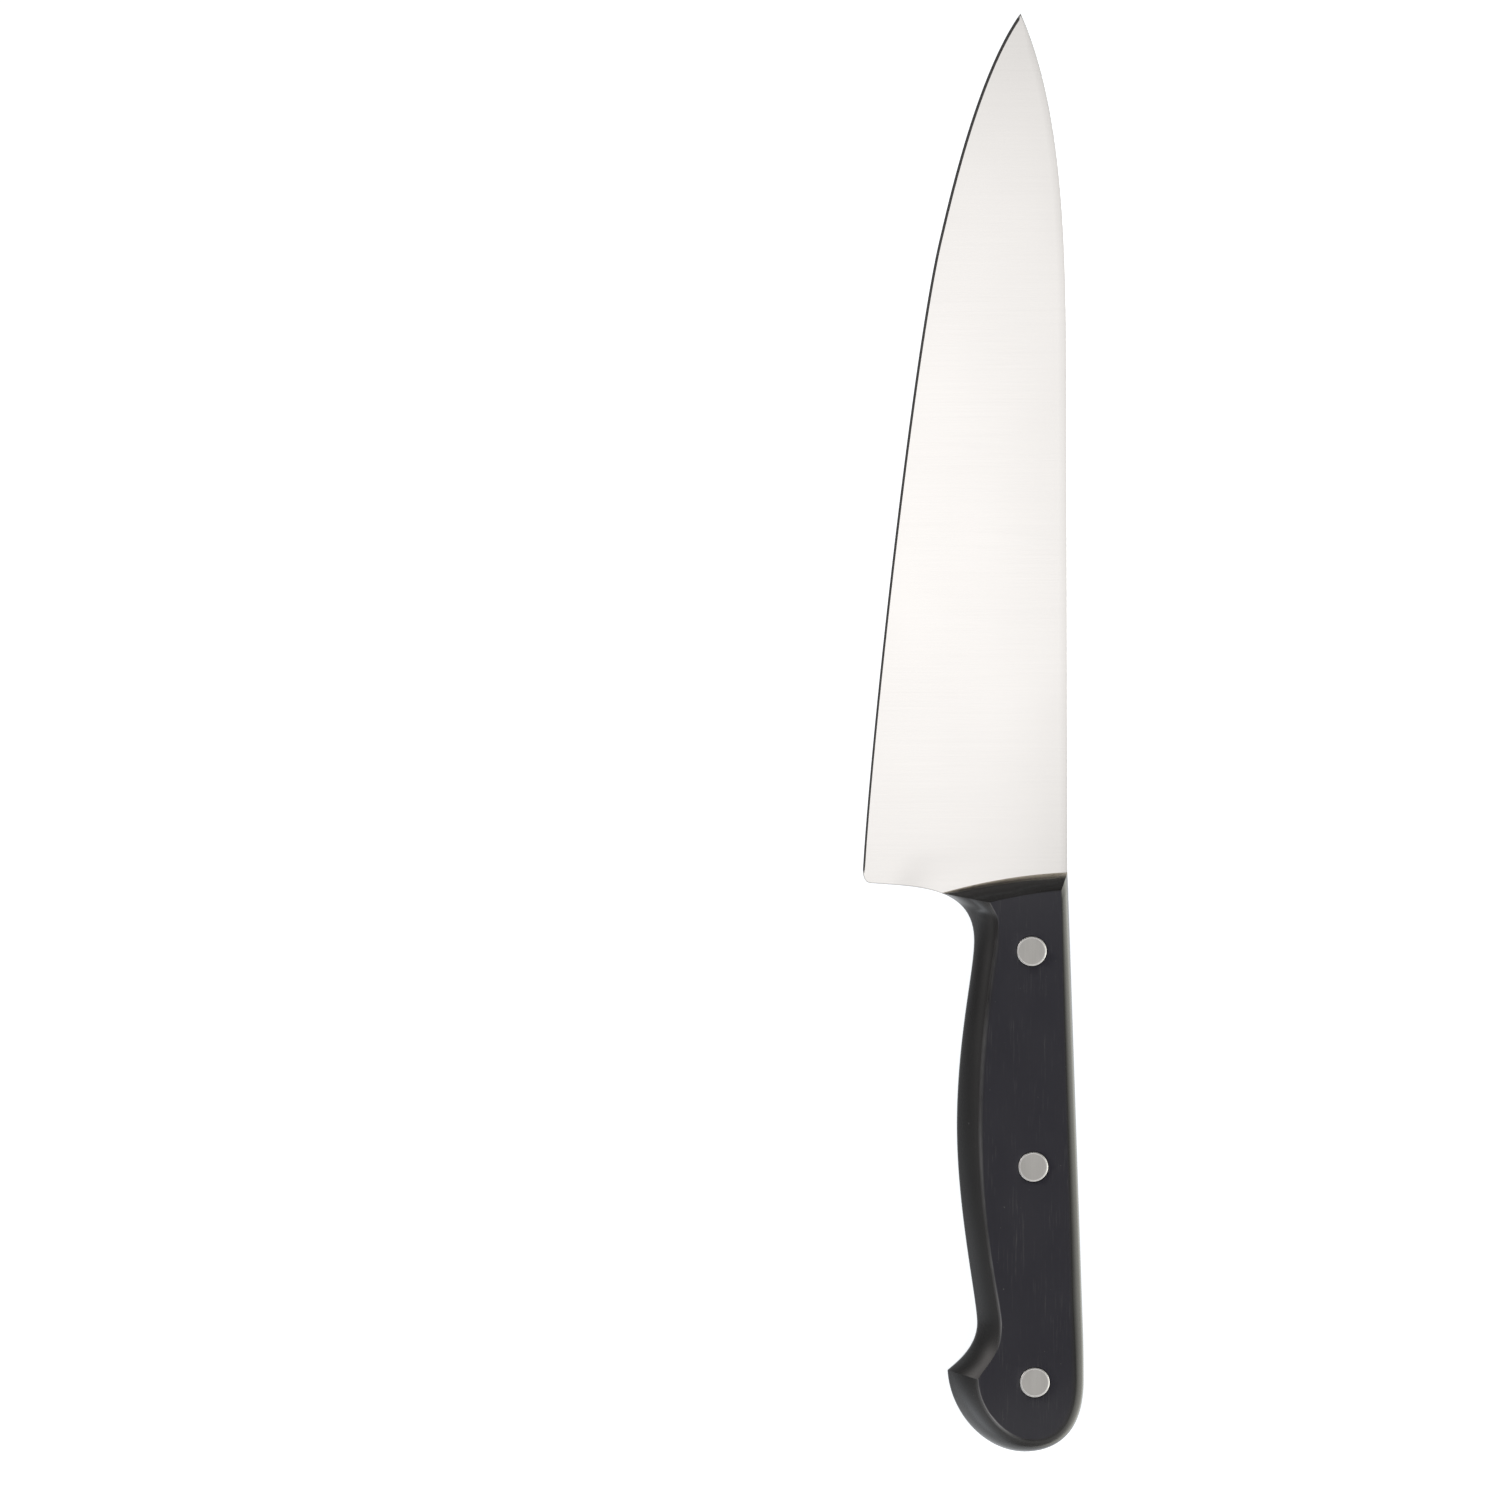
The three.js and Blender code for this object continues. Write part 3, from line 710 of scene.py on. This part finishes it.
class Nodes:
    """A short way to write a node tree: every call adds a node and returns its output."""

    def __init__(self, tree):
        self.tree = tree
        tree.nodes.clear()

    def add(self, kind, inputs=(), output=0, **settings):
        node = self.tree.nodes.new(kind)
        for key, value in settings.items():
            setattr(node, key, value)
        for key, value in dict(inputs).items():
            if isinstance(value, bpy.types.NodeSocket):
                self.tree.links.new(value, node.inputs[key])
            else:
                node.inputs[key].default_value = value
        return node.outputs[output]

    def math(self, operation, a, b=0.0, clamp=False):
        return self.add("ShaderNodeMath", {0: a, 1: b}, operation=operation, use_clamp=clamp)

    def spread(self, value, from_min, from_max, to_min=0.0, to_max=1.0, smooth=False):
        """Maps one range on to another, and holds it at the ends."""
        kind = "SMOOTHSTEP" if smooth else "LINEAR"
        return self.add("ShaderNodeMapRange", {"Value": value, "From Min": from_min, "From Max": from_max,
                                               "To Min": to_min, "To Max": to_max},
                        interpolation_type=kind)

    def place(self, scale):
        """The point on the object, in metres, with each axis multiplied."""
        point = self.add("ShaderNodeTexCoord", output="Object")
        return self.add("ShaderNodeMapping", {"Vector": point, "Scale": scale})

    def noise(self, scale, detail=3.0, roughness=0.55, offset=0.0):
        """Noise whose grains measure about 1 / scale metres along each axis."""
        vector = self.place(scale)
        if offset:
            vector = self.add("ShaderNodeVectorMath", {0: vector, 1: (offset, offset, offset)},
                              operation="ADD")
        return self.add("ShaderNodeTexNoise", {"Vector": vector, "Scale": 1.0, "Detail": detail,
                                               "Roughness": roughness})

    def coordinate(self, axis):
        """One coordinate of the point on the object, in metres."""
        point = self.add("ShaderNodeTexCoord", output="Object")
        return self.add("ShaderNodeSeparateXYZ", {0: point}, output=axis)

    def attribute(self, name):
        return self.add("ShaderNodeAttribute", output="Fac", attribute_name=name)

    def mix_colour(self, share, a, b):
        return self.add("ShaderNodeMix", {0: share, 6: a, 7: b}, output=2, data_type="RGBA")

    def bump(self, height, distance):
        return self.add("ShaderNodeBump", {"Height": height, "Strength": 1.0, "Distance": distance})

    def surface(self, **inputs):
        shader = self.add("ShaderNodeBsdfPrincipled", {k.replace("_", " "): v for k, v in inputs.items()})
        self.add_output("ShaderNodeOutputMaterial", shader)

    def add_output(self, kind, shader):
        node = self.tree.nodes.new(kind)
        self.tree.links.new(shader, node.inputs["Surface"])


def new_material(name):
    material = bpy.data.materials.new(name)
    material.use_nodes = True
    return material, Nodes(material.node_tree)


# Painted shade: the steel's colour is brightest at one place and darker away from it, standing in for
# the fall of light over the blade: the place, and how far from it, in metres, the steel would be quite
# dark, across and along the blade.
SHINE_ACROSS = (-0.008, 0.100)
SHINE_ALONG = (0.0424, 0.250)
# The painted shade also deepens toward the scales: by how much, and the share of that at the edge and at
# the back.
# The change takes place between these y, and the share runs between these x.
REAR_SHADE = 0.1
REAR_SHARES = (-0.25, 0.6)
REAR_Y = (70, 0)
REAR_X = (-45, -5)
# how much the painted shade along the back darkens the steel
BACK_SHADE_STRENGTH = 0.11
STEEL_TONES = (0.948, 0.927, 0.914, 1), (0.962, 0.942, 0.930, 1)
# the dark colour that the painted shade mixes into the steel
SHADED_STEEL = (0.05, 0.05, 0.045, 1)
STEEL_GRAIN_DEPTH = 0.0000004        # in metres
BEVEL_SMOOTHING = -0.08              # what the cutting bevel adds to the roughness


def steel_painted_shade(n, clouds):
    """How far painted shade darkens the steel's colour, from 0 to 1, with a little random tone."""
    painted_shade = 0.0
    for axis, middle, reach in ((0, *SHINE_ACROSS), (1, *SHINE_ALONG)):
        away = n.math("DIVIDE", n.math("SUBTRACT", n.coordinate(axis), middle), reach)
        painted_shade = n.math("ADD", n.math("MULTIPLY", away, away), painted_shade)
    # painted shade along the back
    painted_shade = n.math("ADD", painted_shade, n.math("MULTIPLY", n.attribute("haze"), BACK_SHADE_STRENGTH))
    across = [place([x, 0, 0])[0] for x in REAR_X]
    along = [place([0, y, 0])[1] for y in REAR_Y]
    near_scales = n.spread(n.coordinate(1), *along, 0, REAR_SHADE, smooth=True)
    near_back = n.spread(n.coordinate(0), *across, *REAR_SHARES)
    painted_shade = n.math("ADD", painted_shade, n.math("MULTIPLY", near_scales, near_back))
    return n.math("ADD", painted_shade, n.spread(clouds, 0.3, 0.7, -0.012, 0.012))


def blade_steel():
    """Stainless steel, finely ground across the blade, its colour darkened by painted shade away from one
    bright place, along the back and toward the scales.
    """
    material, n = new_material("blade_steel")
    grain = n.noise((60, 9000, 60), detail=3, roughness=0.6)
    long_grain = n.noise((20, 3000, 20), detail=3, offset=3)
    clouds = n.noise((22, 14, 22), detail=2, offset=7)
    tone = n.math("ADD", n.math("MULTIPLY", grain, 0.4), n.math("MULTIPLY", long_grain, 0.6))
    colour = n.mix_colour(n.spread(tone, 0.3, 0.7), *STEEL_TONES)
    # painted shade darkens the steel's colour
    colour = n.mix_colour(steel_painted_shade(n, clouds), colour, SHADED_STEEL)
    rough = n.math("ADD", n.spread(grain, 0.3, 0.7, 0.215, 0.245),
                   n.spread(clouds, 0.3, 0.7, -0.01, 0.01))
    rough = n.math("ADD", rough, n.math("MULTIPLY", n.attribute("bevel"), BEVEL_SMOOTHING))
    n.surface(Base_Color=colour, Metallic=1.0, Roughness=rough,
              Normal=n.bump(grain, STEEL_GRAIN_DEPTH))
    return material


FLAT_BLACK, GROUND_BLACK = (0.0060, 0.0053, 0.0120, 1), (0.0036, 0.0030, 0.0032, 1)
STREAK_GREY, SPECK_GREY = (0.042, 0.040, 0.044, 1), (0.07, 0.07, 0.07, 1)
# the first is a painted highlight along the creases, with some rubbing; the second is dirt and a painted
# reflection of the blade at the seam
CREASE_HIGHLIGHT_GREY, SEAM_GRIME_AND_REFLECTION = (0.30, 0.296, 0.304, 1), (0.56, 0.50, 0.415, 1)
PALE_ENDS = (0.046, 0.064)   # distances from the handle's middle between which it turns paler
END_PALENESS = 0.009
GROUND_SHARE = 0.94          # how much of the brushing the ground edges have lost
POLYMER_ROUGHNESS = 0.43
GROUND_SMOOTHING = -0.17     # what the ground edges add to it
BRUSHING_DEPTH = 0.000006    # in metres


def polymer_colour(n, ground, brushed, streaks):
    """Black, paler to the ends, with grey streaks and specks, a painted highlight with some rubbing along
    the creases, and dirt and a painted reflection of the blade at the seam.
    """
    patches = n.noise((260, 90, 260), detail=2, offset=21)
    mottle = n.noise((120, 60, 120), detail=3, offset=9)
    specks = n.noise((1500, 1100, 1500), detail=1, offset=13)
    grains = n.noise((1300, 1300, 1300), detail=2, offset=17)

    middle = place([*HANDLE_CENTRE, 0])[1]
    from_middle = n.math("ABSOLUTE", n.math("SUBTRACT", n.coordinate(1), middle))
    ends = n.spread(from_middle, *PALE_ENDS, 0, END_PALENESS, smooth=True)
    shade = n.math("ADD", ends, n.spread(mottle, 0.35, 0.65, -0.0012, 0.0016))
    tint = n.mix_colour(ground, FLAT_BLACK, GROUND_BLACK)
    base = n.add("ShaderNodeVectorMath", {0: tint, 1: shade}, operation="ADD")

    light = n.math("MULTIPLY", n.spread(streaks, 0.56, 0.78), brushed)
    light = n.math("MULTIPLY", light, n.spread(patches, 0.42, 0.62, 0.15, 1.0))
    # painted highlight along the creases, with some rubbing
    rubbed_and_highlit = n.math("MULTIPLY", n.attribute("crease"), n.spread(mottle, 0.3, 0.6, 0.35, 1.0))
    # dirt and a painted reflection of the blade at the foot of the front wall
    seam = n.math("MULTIPLY", n.attribute("seam"), n.spread(grains, 0.3, 0.5, 0.6, 1.0))
    base = n.mix_colour(light, base, STREAK_GREY)
    base = n.mix_colour(n.spread(specks, 0.80, 0.84), base, SPECK_GREY)
    base = n.mix_colour(rubbed_and_highlit, base, CREASE_HIGHLIGHT_GREY)
    return n.mix_colour(seam, base, SEAM_GRIME_AND_REFLECTION)


def handle_polymer():
    """Black polymer: the flats are brushed lengthwise, and the ground edges are smoother."""
    material, n = new_material("handle_polymer")
    streaks = n.noise((3400, 130, 3400), detail=3, roughness=0.6)
    fine = n.noise((6000, 260, 6000), detail=3, offset=5)
    ground = n.attribute("ground")
    brushed = n.math("SUBTRACT", 1.0, n.math("MULTIPLY", ground, GROUND_SHARE))
    colour = polymer_colour(n, ground, brushed, streaks)

    rough = n.math("MULTIPLY", n.spread(streaks, 0.3, 0.7, -0.05, 0.05), brushed)
    rough = n.math("ADD", n.math("ADD", rough, POLYMER_ROUGHNESS),
                   n.math("MULTIPLY", ground, GROUND_SMOOTHING))
    height = n.math("ADD", n.math("MULTIPLY", streaks, 0.6), n.math("MULTIPLY", fine, 0.4))
    n.surface(Base_Color=colour, Roughness=rough, Specular_IOR_Level=0.4,
              Normal=n.bump(n.math("MULTIPLY", height, brushed), BRUSHING_DEPTH))
    return material


RIVET_TONES = (0.402, 0.393, 0.381, 1), (0.437, 0.428, 0.416, 1)
# painted highlight: the pale colour given to the turned rim
RIM_HIGHLIGHT = (0.72, 0.71, 0.70, 1)
RIVET_GRAIN_DEPTH = 0.0000007        # in metres
RIM_SMOOTHING = -0.08                # what the turned rim adds to the roughness


def rivet_steel():
    """Rivet heads dressed flush with the handle, so they are brushed the same way."""
    material, n = new_material("rivet_steel")
    brushed = n.noise((4200, 130, 4200), detail=4, roughness=0.65)
    broad = n.noise((400, 90, 400), detail=2, offset=4)
    rim = n.attribute("rim")
    colour = n.mix_colour(n.spread(brushed, 0.3, 0.7), *RIVET_TONES)
    # painted highlight on the turned rim
    colour = n.mix_colour(rim, colour, RIM_HIGHLIGHT)
    rough = n.math("ADD", n.spread(broad, 0.3, 0.7, 0.32, 0.40),
                   n.math("MULTIPLY", rim, RIM_SMOOTHING))
    n.surface(Base_Color=colour, Metallic=1.0, Roughness=rough,
              Normal=n.bump(brushed, RIVET_GRAIN_DEPTH))
    return material


# ---------------------------------------------------------------- pieces

steel, polymer, rivet_metal = blade_steel(), handle_polymer(), rivet_steel()
pieces = [
    (make_blade(steel), "blade", "blade_steel"),
    (make_scale("handle_scale_left_finished", polymer, upper=True),
     "handle_scale_left", "handle_polymer"),
    (make_scale("handle_scale_right_finished", polymer, upper=False),
     "handle_scale_right", "handle_polymer"),
]
pieces += [(piece, node, "rivet_steel") for piece, node in make_rivets(rivet_metal)]
for piece, node, slot in pieces:
    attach(piece, "root")
    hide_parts(node)

# ---------------------------------------------------------------- floor, light and camera

class SoftBox(NamedTuple):
    """A light for the handle. Azimuth is from +X; the angles are degrees as the handle sees them."""
    azimuth: float
    elevation: float
    half_width: float
    half_height: float
    strength: float
    colour: tuple


WHITE, CREAM, COOL, WARM = (1.0, 0.99, 0.975), (1.0, 1.0, 0.90), (0.95, 1.0, 1.05), (1.0, 0.95, 0.92)
SOFT_BOXES = [
    SoftBox(0, 5, 36, 44, 4.0, CREAM),
    SoftBox(315, 5, 30, 25, 1.3, WHITE),
    SoftBox(300, 50, 35, 15, 0.8, WHITE),
    SoftBox(250, 42, 40, 16, 0.5, WHITE),
    SoftBox(216, 2, 24, 24, 3.3, COOL),
    SoftBox(212, 44, 22, 9, 0.5, WHITE),
    SoftBox(147, 33, 13, 9, 4.3, WARM),
    SoftBox(180, 42, 35, 8, 0.5, WHITE),
]
BOX_DISTANCE = 3.0
BOX_REACH = 2.0              # a box's light falls off smoothly as far as this many half widths
WIDEST_HALF = math.radians(62)   # no lamp reaches further from its middle than this

# The sky: the light of the panel overhead, of the room lower down and of the gap.
OVERHEAD = 1.14
HORIZON = 0.38
GLOOM = 0.05
OVERHEAD_EDGE = (67, 77)     # the elevations between which one turns into the next
HORIZON_EDGE = (56, 38)
GAP_EDGE = (0.25, 0.5)       # the direction's x between which the gap fades out toward +X

FLOOR_SIZE = 30.0            # in metres
FLOOR_GLOW = (0.94, 3.8)     # the light the floor gives, and what it gives beyond the back
BUTT_GLOW_SHARE = 0.3        # how much of the way to the stronger light it goes beyond the butt
BACK_RAMP = (0.026, 0.045)   # where one turns into the other, in metres across and along
BUTT_RAMP = (-0.160, -0.178)
FLOOR_COOL = (0.97, 1, 1.03, 1)
FLOOR_GREY = (0.45, 0.45, 0.45, 1)


def make_floor():
    """A plain white sheet under the knife."""
    half = FLOOR_SIZE / 2
    mesh = bpy.data.meshes.new("floor")
    mesh.from_pydata([(-half, -half, 0), (half, -half, 0), (half, half, 0), (-half, half, 0)], [],
                     [(0, 1, 2, 3)])
    material, n = new_material("floor_white")
    beyond_back = n.spread(n.coordinate(0), *BACK_RAMP, smooth=True)
    beyond_butt = n.spread(n.coordinate(1), *BUTT_RAMP, smooth=True)
    share = n.math("MAXIMUM", beyond_back, n.math("MULTIPLY", beyond_butt, BUTT_GLOW_SHARE))
    glow = n.spread(share, 0, 1, *FLOOR_GLOW)
    colour = n.mix_colour(beyond_back, FLOOR_COOL, (*CREAM, 1))
    n.surface(Base_Color=FLOOR_GREY, Roughness=0.9, Specular_IOR_Level=0.1,
              Emission_Color=colour, Emission_Strength=glow)
    mesh.materials.append(material)
    floor = bpy.data.objects.new("floor", mesh)
    floor.location.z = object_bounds()[0].z
    bpy.context.scene.collection.objects.link(floor)


def make_sky():
    """A soft studio: a white panel overhead, a grey room, and on three sides a dark gap between."""
    world = bpy.data.worlds.new("studio")
    bpy.context.scene.world = world
    world.use_nodes = True
    n = Nodes(world.node_tree)
    direction = n.add("ShaderNodeTexCoord", output="Generated")
    across, up = (n.add("ShaderNodeSeparateXYZ", {0: direction}, output=k) for k in (0, 2))
    elevation = n.math("ARCSINE", up)
    gap = n.spread(across, *GAP_EDGE, GLOOM, HORIZON, smooth=True)
    low, high = (n.spread(elevation, *map(math.radians, edge), 0, 1, smooth=True)
                 for edge in (HORIZON_EDGE, OVERHEAD_EDGE))
    light = n.add("ShaderNodeMix", {0: low, 2: gap, 3: HORIZON})
    light = n.add("ShaderNodeMix", {0: high, 2: light, 3: OVERHEAD})
    colour = n.add("ShaderNodeVectorMath", {0: WHITE, 3: light}, operation="SCALE")
    n.add_output("ShaderNodeOutputWorld", n.add("ShaderNodeBackground", {"Color": colour}))


def make_soft_box(name, box, lit):
    """A lamp that lights only the collection `lit` and is brightest in its middle."""
    angles = [math.radians(angle) for angle in (box.half_width, box.half_height)]
    halves = [BOX_DISTANCE * math.tan(min(BOX_REACH * angle, WIDEST_HALF)) for angle in angles]
    data = bpy.data.lights.new(name, "AREA")
    data.shape = "RECTANGLE"
    data.size, data.size_y = 2 * halves[0], 2 * halves[1]
    data.energy = math.pi * data.size * data.size_y
    data.use_nodes = True
    n = Nodes(data.node_tree)
    point = n.add("ShaderNodeNewGeometry", output="Parametric")
    fall = 0.0
    for axis, (angle, half) in enumerate(zip(angles, halves)):
        across = n.add("ShaderNodeSeparateXYZ", {0: point}, output=axis)
        slope = n.spread(across, 0, 1, -half / BOX_DISTANCE, half / BOX_DISTANCE)
        off = n.math("DIVIDE", n.math("ARCTANGENT", slope), angle)
        fall = n.math("SUBTRACT", fall, n.math("MULTIPLY", off, off))
    share = n.math("MULTIPLY", n.math("EXPONENT", fall), box.strength)
    emission = n.add("ShaderNodeEmission", {0: (*box.colour, 1), 1: share})
    n.add_output("ShaderNodeOutputLight", emission)

    lamp = bpy.data.objects.new(name, data)
    turn, rise = math.radians(box.azimuth), math.radians(box.elevation)
    away = Vector((math.cos(rise) * math.cos(turn), math.cos(rise) * math.sin(turn), math.sin(rise)))
    lamp.location = Vector(place([*HANDLE_CENTRE, 0])) + away * BOX_DISTANCE
    lamp.rotation_euler = away.to_track_quat("Z", "Y").to_euler()
    lamp.visible_camera = False
    lamp.light_linking.receiver_collection = lit
    bpy.context.scene.collection.objects.link(lamp)


def make_soft_boxes():
    """All the soft boxes. They light the handle and its rivets, and leave the blade to the sky."""
    lit = bpy.data.collections.new("lit_by_soft_boxes")
    for piece, _, slot in pieces:
        if slot != "blade_steel":
            lit.objects.link(piece)
    for index, box in enumerate(SOFT_BOXES):
        make_soft_box(f"soft_box_{index}", box, lit)


# The view: straight down with a long lens, the knife right of the middle.
CAMERA_HEIGHT = 9.0              # above the handle's flat face, in metres
FRAME_WIDTH = 0.3488             # the width seen at that face, in metres
FRAME_CENTRE = (-73.72, 28.49)   # in the drawing's millimetres
SENSOR_WIDTH = 36


def make_camera():
    """A camera that looks straight down, with the handle's flat face at a known scale."""
    data = bpy.data.cameras.new("camera")
    data.sensor_width = SENSOR_WIDTH
    data.lens = SENSOR_WIDTH * CAMERA_HEIGHT / FRAME_WIDTH
    data.clip_end = 100
    camera = bpy.data.objects.new("camera", data)
    x, y, _ = place([*FRAME_CENTRE, 0])
    camera.location = (x, y, place([0, 0, FACE_Z])[2] + CAMERA_HEIGHT)
    bpy.context.scene.collection.objects.link(camera)
    bpy.context.scene.camera = camera


make_floor()
make_sky()
make_soft_boxes()
make_camera()
bpy.context.scene.view_settings.view_transform = "Standard"
